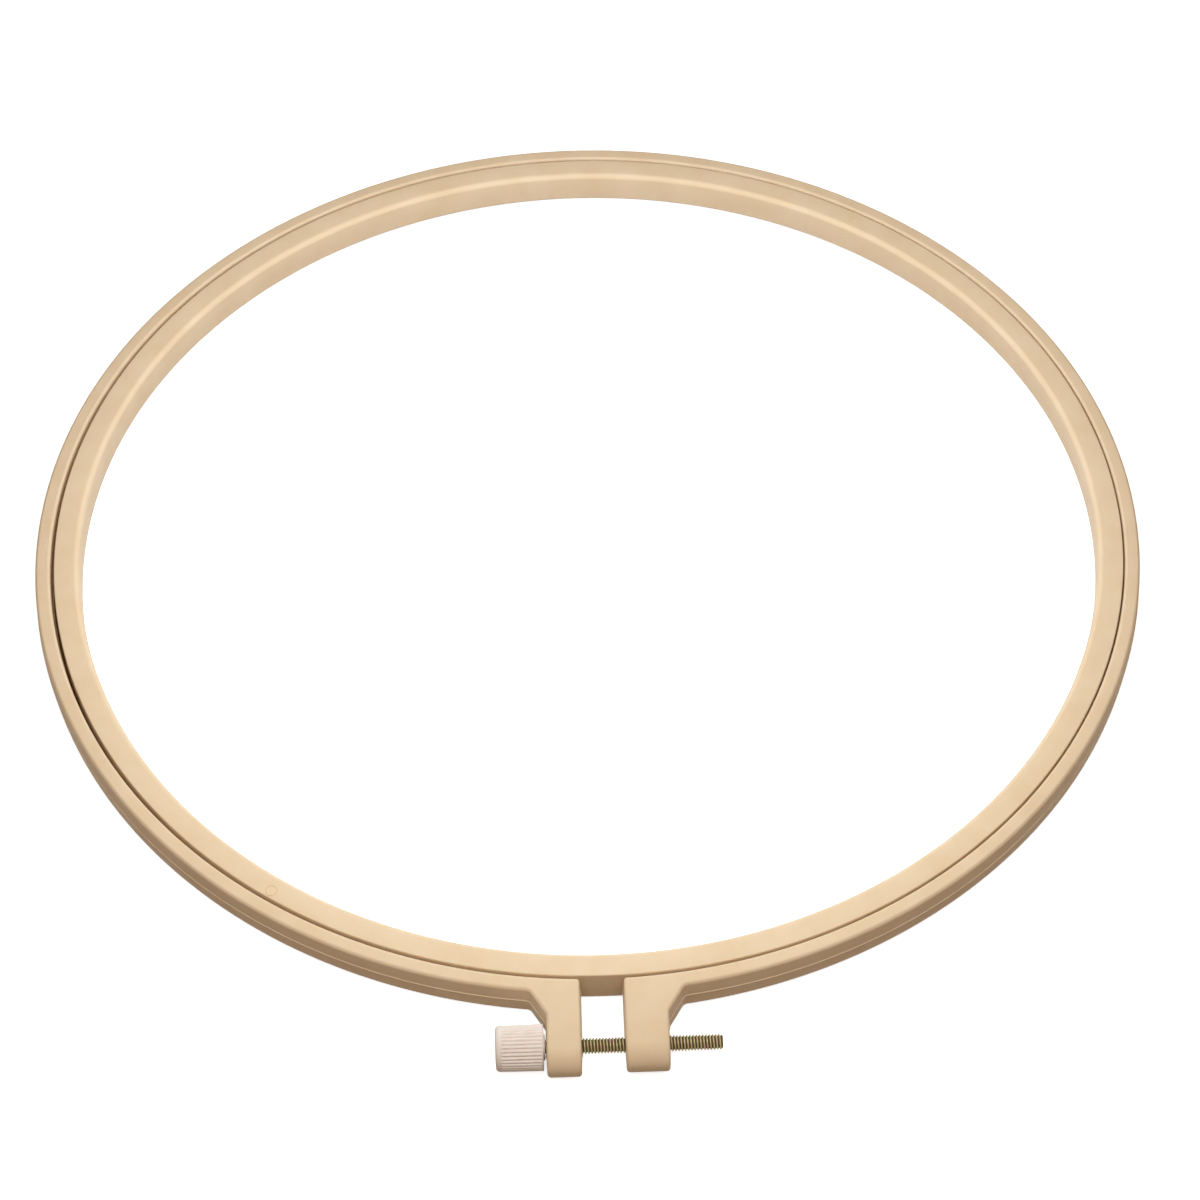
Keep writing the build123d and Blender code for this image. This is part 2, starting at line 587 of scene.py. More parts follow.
@dataclass(frozen=True)
class MouldedPlastic:
    """Satin moulded plastic, with faint clouds from the melt and a fine spark-eroded grain."""

    name: str
    colour: Colour
    cloud_colour: Colour
    clouds: Patches = Patches(9.0, 4.0, 0.35, 0.68)
    grain: Grain = Grain(0.35, 0.006, (0.44, 0.56))
    wave_size: float = 14.0
    wave_detail: float = 1.0
    wave_depth: float = 0.05
    ior: float = 1.49
    gloss: float = 0.1
    translucence: float = 0.12
    scatter_depth: float = 2.0
    scatter_shares: Colour = (1.0, 0.45, 0.2)

    def make(self) -> bpy.types.Material:
        """Builds the material.

        Returns:
            The material.
        """
        sheet = new_material_sheet(self.name)
        waves = sheet.bump(sheet.noise(self.wave_size, self.wave_detail), self.wave_depth)
        shader = sheet.add(
            "ShaderNodeBsdfPrincipled",
            {
                "Base Color": sheet.blend(self.clouds.share(sheet), self.colour, self.cloud_colour),
                "IOR": self.ior,
                "Specular IOR Level": self.gloss,
                "Subsurface Weight": self.translucence,
                "Subsurface Radius": self.scatter_shares,
                "Subsurface Scale": self.scatter_depth * MM,
                **self.grain.inputs(sheet, waves),
            },
        )
        return sheet.close(shader)


@dataclass(frozen=True)
class PassivatedSteel:
    """Zinc-plated steel under a dark yellow passivation, which shows green and pink.

    Shade is painted down in the thread: the colour is darkest at the inner of its two radii from
    the screw's axis, and full from the outer one on. Both are in millimetres.
    """

    name: str
    brown: Colour
    olive: Colour
    rose: Colour
    # root: the painted shade's colour, darkest down in the thread
    root: Colour
    painted_shade_radius: float
    painted_shade_end_radius: float
    green_patches: Patches = Patches(2.2, 3.0, 0.42, 0.6)
    pink_patches: Patches = Patches(1.4, 2.0, 0.52, 0.66, 0.8)
    grain: Grain = Grain(0.25, 0.008, (0.42, 0.62))
    metallic: float = 0.6
    gloss: float = 0.1
    edge_tint: Colour = (0.05, 0.04, 0.03)

    def make(self, axis: Vector) -> bpy.types.Material:
        """Builds the material.

        Args:
            axis: A place on the screw's axis, in metres.

        Returns:
            The material.
        """
        sheet = new_material_sheet(self.name)
        plate = sheet.blend(self.green_patches.share(sheet), self.brown, self.olive)
        plate = sheet.blend(self.pink_patches.share(sheet), plate, self.rose)
        # Painted shade: the colour darkens toward the thread's root, by the distance from the axis
        across = {"Location": (0.0, -axis.y, -axis.z), "Scale": (0.0, 1.0, 1.0)}
        from_axis = sheet.add("ShaderNodeMapping", {"Vector": sheet.place, **across}).outputs[0]
        radius = sheet.add("ShaderNodeVectorMath", {0: from_axis}, operation="LENGTH")
        depth = sheet.spread(
            radius.outputs["Value"], self.painted_shade_radius * MM, self.painted_shade_end_radius * MM, (1.0, 0.0)
        )
        shader = sheet.add(
            "ShaderNodeBsdfPrincipled",
            {
                "Base Color": sheet.blend(depth, plate, self.root),
                "Metallic": self.metallic,
                "Specular IOR Level": self.gloss,
                "Specular Tint": opaque(self.edge_tint),
                **self.grain.inputs(sheet),
            },
        )
        return sheet.close(shader)


# Pieces of the hoop


@dataclass(frozen=True)
class LugSize:
    """One lug of the split: how far it reaches past the ring, and its width at both ends."""

    side: Side
    reach: float
    root: float
    tip: float


@dataclass(frozen=True)
class OuterHoop:
    """The split ring with its two lugs, drawn up and down from the mould's parting line."""

    fitting: Fitting = Fitting("outer", "outer_hoop", "hoop_plastic")
    diameter: float = 305.0
    height: float = 9.7
    wall: float = 4.75
    draft: float = 2.0
    rim_round: float = 0.9
    rim_steps: int = 6
    ring_steps: int = 720
    split_gap: float = 10.3
    split_shift: float = -0.5
    arc_room: float = 1.1
    knob_lug: LugSize = LugSize(Side.KNOB, 20.2, 9.0, 9.3)
    nut_lug: LugSize = LugSize(Side.NUT, 19.4, 11.5, 11.4)
    gusset_width: float = 4.1
    gusset_reach: float = 5.7
    gusset_round: float = 1.2
    split_corner_round: float = 1.2
    corner_steps: int = 6
    nose_steps: int = 28
    nose_room: float = 1.0
    ridge_height: float = 0.18
    ridge_width: float = 0.32
    screw_reach: float = 12.3
    hole_diameter: float = 4.5
    hole_steps: int = 72
    drill_length: float = 60.0
    pocket_across_flats: float = 7.1
    pocket_depth: float = 3.4
    spare: float = 5.0

    @property
    def radius(self) -> float:
        """Outer radius at the parting line."""
        return self.diameter / 2

    @property
    def bore(self) -> float:
        """Inner radius at the parting line."""
        return self.radius - self.wall

    @property
    def half_height(self) -> float:
        """Height of the hoop above its parting line."""
        return self.height / 2

    @property
    def lugs(self) -> tuple[LugSize, LugSize]:
        """Both lugs."""
        return self.knob_lug, self.nut_lug

    @property
    def arc_end(self) -> float:
        """The x at which the inner arc ends, so that the split's corners can be rounded."""
        widest = max(abs(self.split_x(lug)) for lug in self.lugs)
        return widest + self.split_corner_round + self.arc_room / 2

    def split_x(self, lug: LugSize) -> float:
        """Where a lug begins: one side of the split, which lies a little to the knob's side."""
        return self.split_shift + lug.side.value * self.split_gap / 2

    def outer_x(self, lug: LugSize, width: float) -> float:
        """The x of a lug's outer side where the lug is so wide."""
        return self.split_x(lug) + lug.side.value * width

    def lug_width(self, lug: LugSize, reach: float) -> float:
        """Width of a lug at a reach past the ring, on its straight part or beyond its end."""
        along = (reach - self.gusset_reach) / (lug.reach - self.gusset_reach)
        return lug.root + (lug.tip - lug.root) * along

    def corners(self, lug: LugSize) -> dict[Bend, Vector]:
        """Works out the corners of a lug's outline that get a rounding.

        Args:
            lug: The lug.

        Returns:
            Their places.
        """
        split_x = self.split_x(lug)
        foot_x = self.outer_x(lug, lug.root + self.gusset_width)
        top_y = -self.radius - self.gusset_reach
        return {
            Bend.GUSSET_FOOT: Vector((foot_x, -math.sqrt(self.radius**2 - foot_x**2), 0)),
            Bend.GUSSET_TOP: Vector((self.outer_x(lug, lug.root), top_y, 0)),
            Bend.SPLIT_CORNER: Vector((split_x, -math.sqrt(self.bore**2 - split_x**2), 0)),
        }

    def draw_outline(self) -> bpy.types.Object:
        """Draws the hoop's plan at the parting line: both arcs of the ring and the lugs.

        Returns:
            The flat piece, in edit mode.
        """
        deselect_all()
        bpy.ops.mesh.primitive_circle_add(vertices=self.ring_steps, radius=self.radius)
        piece = name_new_piece("split_hoop")
        for lug in self.lugs:
            self.open_outer_arc(piece, lug)
        for lug in self.lugs:
            self.draw_lug(piece, lug)
        bpy.ops.object.mode_set(mode="EDIT")
        bpy.ops.mesh.select_all(action="DESELECT")
        bpy.ops.mesh.primitive_circle_add(vertices=self.ring_steps, radius=self.bore)
        self.open_inner_arc(piece)
        for lug in self.lugs:
            self.close_split(piece, lug)
        bpy.ops.mesh.select_all(action="SELECT")
        bpy.ops.mesh.edge_face_add()
        for lug in self.lugs:
            self.round_outline(piece, lug)
        return piece

    def open_outer_arc(self, piece: bpy.types.Object, lug: LugSize) -> None:
        """Opens the outer arc where a lug and its gusset go.

        Args:
            piece: The outer circle, in object mode.
            lug: The lug.
        """
        reach = abs(self.corners(lug)[Bend.GUSSET_FOOT].x) + self.arc_room
        bpy.ops.object.mode_set(mode="EDIT")
        select_vertices(
            piece,
            lambda place: place.y < 0
            and place.x * lug.side.value >= 0
            and abs(place.x) < reach,
        )
        bpy.ops.mesh.delete(type="VERT")
        bpy.ops.object.mode_set(mode="OBJECT")

    def draw_lug(self, piece: bpy.types.Object, lug: LugSize) -> None:
        """Draws a lug's outline on from the end of the ring's outer arc, to the bore.

        Args:
            piece: The outer arc, in object mode.
            lug: The lug.
        """
        bends = self.corners(lug)
        ends = [vertex.co.copy() for vertex in piece.data.vertices]
        start = min(ends, key=lambda place: (place - bends[Bend.GUSSET_FOOT]).length)
        far_reach = lug.reach + self.spare
        far_x = self.outer_x(lug, self.lug_width(lug, far_reach))
        far_y = -self.radius - far_reach
        take_up(piece)
        bpy.ops.object.mode_set(mode="EDIT")
        select_vertices(piece, lambda place: (place - start).length < POINT_ROOM)
        points = [
            bends[Bend.GUSSET_FOOT],
            bends[Bend.GUSSET_TOP],
            (far_x, far_y, 0),
            (self.split_x(lug), far_y, 0),
            bends[Bend.SPLIT_CORNER],
        ]
        draw_on(start, points)
        bpy.ops.object.mode_set(mode="OBJECT")

    def open_inner_arc(self, piece: bpy.types.Object) -> None:
        """Opens the inner arc at the split, and leaves the corners that the lugs end in.

        Args:
            piece: The outline, in edit mode.
        """
        split_xs = [self.split_x(lug) for lug in self.lugs]
        select_vertices(
            piece,
            lambda place: place.y < 0
            and abs(place.x) < self.arc_end
            and abs(place.length - self.bore) < ARC_ROOM
            and min(abs(place.x - x) for x in split_xs) > POINT_ROOM,
        )
        bpy.ops.mesh.delete(type="VERT")

    def close_split(self, piece: bpy.types.Object, lug: LugSize) -> None:
        """Joins a lug's corner at the bore to the nearest end of the inner arc.

        Args:
            piece: The outline, in edit mode.
            lug: The lug.
        """
        corner = self.corners(lug)[Bend.SPLIT_CORNER]
        places = [vertex.co.copy() for vertex in bmesh.from_edit_mesh(piece.data).verts]
        arc = [
            place
            for place in places
            if abs(place.length - self.bore) < ARC_ROOM
            and lug.side.value * place.x >= self.arc_end
            and place.y < 0
        ]
        end = min(arc, key=lambda place: (place - corner).length)
        select_vertices(
            piece,
            lambda place: min((place - corner).length, (place - end).length) < POINT_ROOM,
        )
        bpy.ops.mesh.edge_face_add()

    def round_outline(self, piece: bpy.types.Object, lug: LugSize) -> None:
        """Rounds a gusset's corners and the corner of the split at the bore.

        Args:
            piece: The flat piece, in edit mode.
            lug: The gusset's lug.
        """
        bends = self.corners(lug)
        gusset = bends[Bend.GUSSET_TOP] - bends[Bend.GUSSET_FOOT]
        slope = math.atan2(abs(gusset.x), abs(gusset.y))
        foot_turn = TURN / 4 - slope
        cuts = {
            Bend.GUSSET_FOOT: self.gusset_round * math.tan(foot_turn / 2),
            Bend.GUSSET_TOP: self.gusset_round * math.tan(slope / 2),
            Bend.SPLIT_CORNER: self.split_corner_round,
        }
        for bend, cut in cuts.items():
            round_corner(piece, bends[bend], cut, self.corner_steps)

    def raise_walls(self, piece: bpy.types.Object) -> None:
        """Raises the hoop from its flat plan: parting ridge, drafted wall, round rim, mirrored.

        Args:
            piece: The flat piece, in edit mode.
        """
        slant = math.tan(math.radians(self.draft))
        wall_height = self.half_height - self.rim_round - self.ridge_width / 2
        steps = [
            (self.ridge_height, self.ridge_width / 2),
            (wall_height * slant, wall_height),
        ]
        for index in range(self.rim_steps):
            before = TURN / 4 * index / self.rim_steps
            after = TURN / 4 * (index + 1) / self.rim_steps
            inward = self.rim_round * (math.cos(before) - math.cos(after))
            upward = self.rim_round * (math.sin(after) - math.sin(before))
            steps.append((inward, upward))
        bpy.ops.mesh.select_mode(type="FACE")
        bpy.ops.mesh.select_all(action="SELECT")
        bpy.ops.mesh.normals_make_consistent(inside=False)
        for inward, upward in steps:
            bpy.ops.mesh.inset(thickness=inward, depth=upward, use_even_offset=True)
        bpy.ops.object.mode_set(mode="OBJECT")
        finish_modifier(
            piece,
            "MIRROR",
            use_axis=(False, False, True),
            use_mirror_merge=True,
            merge_threshold=MERGE_ROOM,
        )
        weld(piece)

    def form_nose(self, piece: bpy.types.Object, lug: LugSize) -> None:
        """Cuts a lug off square and turns the upper half of its section into a half-round nose.

        Args:
            piece: The hoop, in edit mode.
            lug: The lug.
        """
        sign = lug.side.value
        nose_y = -self.radius - lug.reach + self.half_height
        before_nose = nose_y + self.nose_room
        bpy.ops.mesh.select_all(action="SELECT")
        bpy.ops.mesh.bisect(plane_co=(0, before_nose, 0), plane_no=(0, -1, 0))
        select_faces(piece, lambda mid, _normal: sign * mid.x > 0 and mid.y < before_nose)
        bpy.ops.mesh.bisect(plane_co=(0, nose_y, 0), plane_no=(0, -1, 0), clear_outer=True)
        select_vertices(
            piece,
            lambda place: sign * place.x > 0
            and abs(place.y - nose_y) < MERGE_ROOM
            and place.z > -MERGE_ROOM,
        )
        bpy.ops.mesh.spin(
            steps=self.nose_steps, angle=-TURN / 2, center=(0, nose_y, 0), axis=(1, 0, 0)
        )

    def cut_across(
        self, piece: bpy.types.Object, sides: int, radius: float, length: float, middle_x: float
    ) -> None:
        """Cuts a hole along the screw's axis.

        Args:
            piece: The hoop, in object mode.
            sides: How many sides the hole has.
            radius: Its radius, out to its corners.
            length: Its length.
            middle_x: Where the middle of its length lies.
        """
        deselect_all()
        bpy.ops.mesh.primitive_cylinder_add(
            vertices=sides,
            radius=radius,
            depth=length,
            location=(middle_x, -self.radius - self.screw_reach, 0),
            rotation=(0, TURN / 4, 0),
        )
        carve(piece, name_new_piece("cutter"), Cut.OUTSIDE)

    def drill(self, piece: bpy.types.Object) -> None:
        """Drills the screw's hole through both lugs and cuts the nut's pocket.

        Args:
            piece: The hoop, in object mode.
        """
        self.cut_across(piece, self.hole_steps, self.hole_diameter / 2, self.drill_length, 0)
        lug_x = self.outer_x(self.nut_lug, self.lug_width(self.nut_lug, self.screw_reach))
        length = self.pocket_depth + self.spare
        pocket_radius = self.pocket_across_flats / math.sqrt(3)
        pocket_x = lug_x - self.pocket_depth + length / 2
        self.cut_across(piece, HEXAGON, pocket_radius, length, pocket_x)

    def build(self, middle: Vector, plastic: bpy.types.Material) -> bpy.types.Object:
        """Models the hoop and ties it to the frame.

        Args:
            middle: The ring's middle, half way up, in metres.
            plastic: Its finish.

        Returns:
            The finished piece.
        """
        piece = self.draw_outline()
        self.raise_walls(piece)
        bpy.ops.object.mode_set(mode="EDIT")
        for lug in self.lugs:
            self.form_nose(piece, lug)
        bpy.ops.object.mode_set(mode="OBJECT")
        weld(piece)
        self.drill(piece)
        return self.fitting.install(piece, middle, plastic)


@dataclass(frozen=True)
class InnerHoop:
    """The closed ring that lies inside the split one, turned from its section."""

    fitting: Fitting = Fitting("inner", "inner_hoop", "hoop_plastic")
    rim_radius: float = 147.35
    height: float = 9.7
    wall: float = 7.0
    window_draft: float = 2.0
    groove_draft: float = 0.5
    rim_round: float = 0.3
    rim_steps: int = 6
    window_round: float = 1.5
    window_steps: int = 8
    under_round: float = 0.85
    ring_steps: int = 720
    pin_orbit: float = 145.4
    pin_degrees: tuple[float, ...] = (-125.2, 54.8)
    pin_radius: float = 1.5
    pin_steps: int = 48
    pin_ring_depth: float = 0.18
    pin_ring_steps: int = 8
    gate_degrees: float = 55.0
    gate_dish_radius: float = 1.8
    gate_dish_depth: float = 0.16
    gate_break_radius: float = 0.42
    gate_break_depth: float = 0.6
    gate_segments: int = 32
    gate_rings: int = 20

    def rounding(self, wall: Wall, z_sign: int) -> tuple[float, int]:
        """Looks up the rounding of one of the section's corners.

        Args:
            wall: The wall that ends in the corner.
            z_sign: 1 for its upper end and -1 for its lower one.

        Returns:
            How large the rounding is, and how many edges it has.
        """
        if wall is Wall.GROOVE:
            return self.rim_round, self.rim_steps
        if z_sign > 0:
            return self.window_round, self.window_steps
        return self.under_round, self.rim_steps

    def draw_section(self) -> bpy.types.Object:
        """Draws the ring's section as a closed line, upright at +x, with its rounded corners.

        Returns:
            The piece, in edit mode.
        """
        half_height = self.height / 2
        middle = self.rim_radius - self.wall / 2
        deselect_all()
        bpy.ops.mesh.primitive_plane_add(
            size=1, location=(middle, 0, 0), rotation=(TURN / 4, 0, 0)
        )
        piece = name_new_piece("closed_hoop")
        piece.scale = (self.wall, self.height, 1)
        bpy.ops.object.transform_apply(location=True, rotation=True, scale=True)
        bpy.ops.object.mode_set(mode="EDIT")
        bpy.ops.mesh.select_all(action="SELECT")
        bpy.ops.mesh.bisect(plane_co=(0, 0, 0), plane_no=(0, 0, 1))
        for wall, draft in ((Wall.WINDOW, self.window_draft), (Wall.GROOVE, self.groove_draft)):
            slant = wall.value * half_height * math.tan(math.radians(draft))
            for z_sign in (-1, 1):
                square = Vector((middle + wall.value * self.wall / 2, 0, z_sign * half_height))
                corner = square - Vector((slant, 0, 0))
                select_vertices(piece, lambda place: (place - square).length < CORNER_ROOM)
                bpy.ops.transform.translate(value=corner - square)
                round_corner(piece, corner, *self.rounding(wall, z_sign))
        bpy.ops.mesh.select_mode(type="FACE")
        bpy.ops.mesh.select_all(action="SELECT")
        bpy.ops.mesh.dissolve_faces()
        bpy.ops.mesh.delete(type="ONLY_FACE")
        return piece

    def mark_pins(self, piece: bpy.types.Object) -> None:
        """Presses in the rings that the mould's ejector pins leave on the top.

        Args:
            piece: The ring, in object mode.
        """
        for degrees in self.pin_degrees:
            deselect_all()
            bpy.ops.mesh.primitive_torus_add(
                major_radius=self.pin_radius,
                minor_radius=self.pin_ring_depth,
                major_segments=self.pin_steps,
                minor_segments=self.pin_ring_steps,
                location=on_orbit(self.pin_orbit, degrees, self.height / 2),
            )
            carve(piece, name_new_piece("pin_ring"), Cut.OUTSIDE)

    def mark_gate(self, piece: bpy.types.Object) -> None:
        """Sinks the gate's shallow dish in the window's wall, and the pit where it broke off.

        Args:
            piece: The ring, in object mode.
        """
        wall_radius = self.rim_radius - self.wall
        cuts = (
            (self.gate_dish_radius, self.gate_dish_depth),
            (self.gate_break_radius, self.gate_break_depth),
        )
        for radius, depth in cuts:
            deselect_all()
            bpy.ops.mesh.primitive_uv_sphere_add(
                segments=self.gate_segments,
                ring_count=self.gate_rings,
                radius=radius,
                location=on_orbit(wall_radius + depth - radius, self.gate_degrees, 0),
            )
            carve(piece, name_new_piece("gate_break"), Cut.OUTSIDE)

    def build(self, middle: Vector, plastic: bpy.types.Material) -> bpy.types.Object:
        """Models the ring and ties it to the frame.

        Args:
            middle: The ring's middle, half way up, in metres.
            plastic: Its finish.

        Returns:
            The finished piece.
        """
        piece = self.draw_section()
        bpy.ops.mesh.select_mode(type="EDGE")
        bpy.ops.mesh.select_all(action="SELECT")
        bpy.ops.mesh.spin(steps=self.ring_steps, angle=TURN, center=(0, 0, 0), axis=(0, 0, 1))
        bpy.ops.object.mode_set(mode="OBJECT")
        weld(piece)
        self.mark_pins(piece)
        self.mark_gate(piece)
        weld(piece)
        return self.fitting.install(piece, middle, plastic)


@dataclass(frozen=True)
class ClampScrew:
    """The clamp screw: a rolled thread with a chamfered end, and a hexagonal head.

    The thread's profile is drawn along one pitch. Each of its points is a share of the pitch,
    and a share of the way from root to crest.
    """

    fitting: Fitting = Fitting("screw", "clamp_screw", "screw_steel", 25.0, along_x=True)
    length: float = 48.44
    crest_radius: float = 1.95
    root_radius: float = 1.5
    pitch: float = 0.794
    turn_steps: int = 36
    spare_turns: int = 2
    end_chamfer: float = 0.5
    gauge_room: float = 0.05
    gauge_steps: int = 96
    head_across_flats: float = 6.0
    head_thickness: float = 2.8
    head_bevel: float = 0.2
    head_bevel_steps: int = 2
    profile_shares: tuple[tuple[float, float], ...] = (
        (0.0, 0.0), (0.08, 0.0), (0.38, 1.0), (0.62, 1.0), (0.92, 0.0), (1.0, 0.0),
    )

    def roll_thread(self) -> bpy.types.Object:
        """Winds the thread's profile round the axis and cuts it to length.

        Returns:
            The threaded rod, standing up, in object mode.
        """
        tooth = self.crest_radius - self.root_radius
        points = [
            (self.root_radius + tooth * out, 0, self.pitch * (along - 1))
            for along, out in self.profile_shares
        ]
        piece = start_point("threaded_rod", points[0])
        draw_on(points[0], points[1:])
        bpy.ops.object.mode_set(mode="OBJECT")
        finish_modifier(
            piece,
            "SCREW",
            axis="Z",
            angle=TURN,
            screw_offset=self.pitch,
            iterations=math.ceil(self.length / self.pitch) + self.spare_turns,
            steps=self.turn_steps,
            render_steps=self.turn_steps,
            use_merge_vertices=True,
            merge_threshold=MERGE_ROOM,
        )
        weld(piece)
        bpy.ops.object.mode_set(mode="EDIT")
        for height, way in ((0.0, -1), (self.length, 1)):
            bpy.ops.mesh.select_all(action="SELECT")
            bpy.ops.mesh.bisect(
                plane_co=(0, 0, height), plane_no=(0, 0, way), use_fill=True, clear_outer=True
            )
        bpy.ops.mesh.select_all(action="SELECT")
        bpy.ops.mesh.normals_make_consistent(inside=False)
        bpy.ops.object.mode_set(mode="OBJECT")
        return piece

    def chamfer_end(self, piece: bpy.types.Object) -> None:
        """Turns the thread's far end down to a short chamfer.

        Args:
            piece: The threaded rod, in object mode.
        """
        radius = self.crest_radius + self.gauge_room
        foot = -self.end_chamfer * 2
        gauge = add_cylinder("turned_end", self.gauge_steps, radius, foot, self.length)
        select_faces(gauge, lambda mid, normal: normal.z > FACING and mid.z > self.length / 2)
        bpy.ops.mesh.bevel(offset=self.end_chamfer, segments=1, affect="EDGES")
        bpy.ops.object.mode_set(mode="OBJECT")
        carve(piece, gauge, Cut.INSIDE)

    def add_head(self, piece: bpy.types.Object) -> None:
        """Joins the hexagonal head, which the knob is moulded round.

        Args:
            piece: The threaded rod, in object mode.
        """
        radius = self.head_across_flats / math.sqrt(3)
        head = add_cylinder("hexagon_head", HEXAGON, radius, -self.head_thickness, 0)
        select_faces(head, lambda _mid, normal: normal.z < -FACING)
        bpy.ops.mesh.bevel(
            offset=self.head_bevel, segments=self.head_bevel_steps, affect="EDGES"
        )
        bpy.ops.object.mode_set(mode="OBJECT")
        take_up(piece)
        head.select_set(True)
        bpy.ops.object.join()

    def build(self, neck: Vector, steel: bpy.types.Material) -> bpy.types.Object:
        """Models the screw and ties it to the frame.

        Args:
            neck: Where the rod leaves its head, on the axis, in metres.
            steel: Its finish.

        Returns:
            The finished piece.
        """
        piece = self.roll_thread()
        self.chamfer_end(piece)
        self.add_head(piece)
        return self.fitting.install(piece, neck, steel)


@dataclass(frozen=True)
class ThumbKnob:
    """The fluted knob that turns the screw: a tapered barrel with a plain end, lip and hub."""

    fitting: Fitting = Fitting("screw", "thumb_knob", "knob_plastic", 40.0, along_x=True)
    diameter: float = 11.5
    length: float = 11.8
    taper: float = 0.1
    end_round: float = 0.9
    end_steps: int = 7
    dish_rim: float = 0.6
    dish_slope: float = 0.35
    dish_depth: float = 0.12
    lip_bevel: float = 0.2
    lip_steps: int = 3
    plain_end: float = 1.5
    plain_lip: float = 0.35
    flute_count: int = 36
    flute_steps: int = 12
    flute_depth: float = 0.3
    flute_end: float = 0.18
    hub_diameter: float = 6.4
    hub_length: float = 0.4
    hub_round: float = 0.15
    neck_diameter: float = 3.9
    neck_room: float = 0.05
    barrel_share: float = 0.9

    @property
    def radius(self) -> float:
        """The barrel's radius at its widest end, which faces the lug."""
        return self.diameter / 2

    def shape_far_end(self, piece: bpy.types.Object) -> None:
        """Tapers the barrel, rounds its far end and sinks the shallow dish in it.

        Args:
            piece: The barrel, in edit mode.
        """
        far = -self.length
        share = (self.radius - self.taper) / self.radius
        select_vertices(piece, lambda place: place.z < far + POINT_ROOM)
        bpy.ops.transform.resize(value=(share, share, 1), center_override=(0, 0, far))
        select_faces(piece, lambda _mid, normal: normal.z < -FACING)
        bpy.ops.mesh.bevel(offset=self.end_round, segments=self.end_steps, affect="EDGES")
        select_faces(piece, lambda _mid, normal: normal.z < -SQUARE_ON)
        bpy.ops.mesh.inset(thickness=self.dish_rim, depth=0)
        bpy.ops.mesh.inset(thickness=self.dish_slope, depth=-self.dish_depth)

    def draw_hub(self, piece: bpy.types.Object) -> None:
        """Bevels the lip and draws the hub out of it, with the neck that the screw fills.

        Args:
            piece: The barrel, in edit mode.
        """
        hub_radius = self.hub_diameter / 2
        neck_radius = self.neck_diameter / 2 + self.neck_room
        select_faces(piece, lambda _mid, normal: normal.z > SQUARE_ON)
        bpy.ops.mesh.bevel(offset=self.lip_bevel, segments=self.lip_steps, affect="EDGES")
        steps = [
            (self.radius - hub_radius - self.lip_bevel, 0.0),
            (0.0, self.hub_length - self.hub_round),
            (self.hub_round, self.hub_round),
            (hub_radius - self.hub_round - neck_radius, 0.0),
            (0.0, -self.hub_length),
        ]
        for inward, outward in steps:
            select_faces(
                piece,
                lambda mid, normal: abs(normal.z) > SQUARE_ON
                and mid.xy.length < ARC_ROOM
                and mid.z > -self.length / 2,
            )
            if inward:
                bpy.ops.mesh.inset(thickness=inward, depth=outward)
            else:
                bpy.ops.mesh.extrude_region_move(TRANSFORM_OT_translate={"value": (0, 0, outward)})

    def cut_flutes(self, piece: bpy.types.Object) -> None:
        """Presses the flutes into the barrel between its plain end and its lip.

        Args:
            piece: The barrel, in edit mode.
        """
        barrel = self.radius * self.barrel_share
        first = -self.length + self.plain_end
        last = -self.plain_lip
        for height in (first, first + self.flute_end, last - self.flute_end, last):
            select_faces(
                piece, lambda mid, normal: abs(normal.z) < ALONGSIDE and mid.xy.length > barrel
            )
            bpy.ops.mesh.bisect(plane_co=(0, 0, height), plane_no=(0, 0, 1))
        step = TURN / (self.flute_count * self.flute_steps)
        for phase in range(1, self.flute_steps):
            wave = (1 - math.cos(TURN * phase / self.flute_steps)) / 2
            share = (self.radius - self.flute_depth * wave**2) / self.radius
            select_vertices(
                piece,
                lambda place: first + ARC_ROOM < place.z < last - ARC_ROOM
                and place.xy.length > barrel
                and round(math.atan2(place.y, place.x) / step) % self.flute_steps == phase,
            )
            bpy.ops.transform.resize(value=(share, share, 1), center_override=(0, 0, 0))

    def build(self, lip: Vector, plastic: bpy.types.Material) -> bpy.types.Object:
        """Models the knob and ties it to the frame.

        Args:
            lip: The middle of the barrel's end that faces the lug, in metres.
            plastic: Its finish.

        Returns:
            The finished piece.
        """
        sides = self.flute_count * self.flute_steps
        piece = add_cylinder("fluted_knob", sides, self.radius, -self.length, 0)
        self.shape_far_end(piece)
        self.draw_hub(piece)
        self.cut_flutes(piece)
        bpy.ops.object.mode_set(mode="OBJECT")
        return self.fitting.install(piece, lip, plastic)


@dataclass(frozen=True)
class CaptiveNut:
    """The steel nut in its pocket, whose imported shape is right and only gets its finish."""

    node: str = "captive_nut"

    def dress(
        self, nodes: dict[str, bpy.types.Object], steel: bpy.types.Material
    ) -> bpy.types.Object:
        """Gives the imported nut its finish.

        Args:
            nodes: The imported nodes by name.
            steel: The finish.

        Returns:
            The nut.
        """
        nut = nodes[self.node]
        nut.data.materials.clear()
        nut.data.materials.append(steel)
        return nut


# Studio


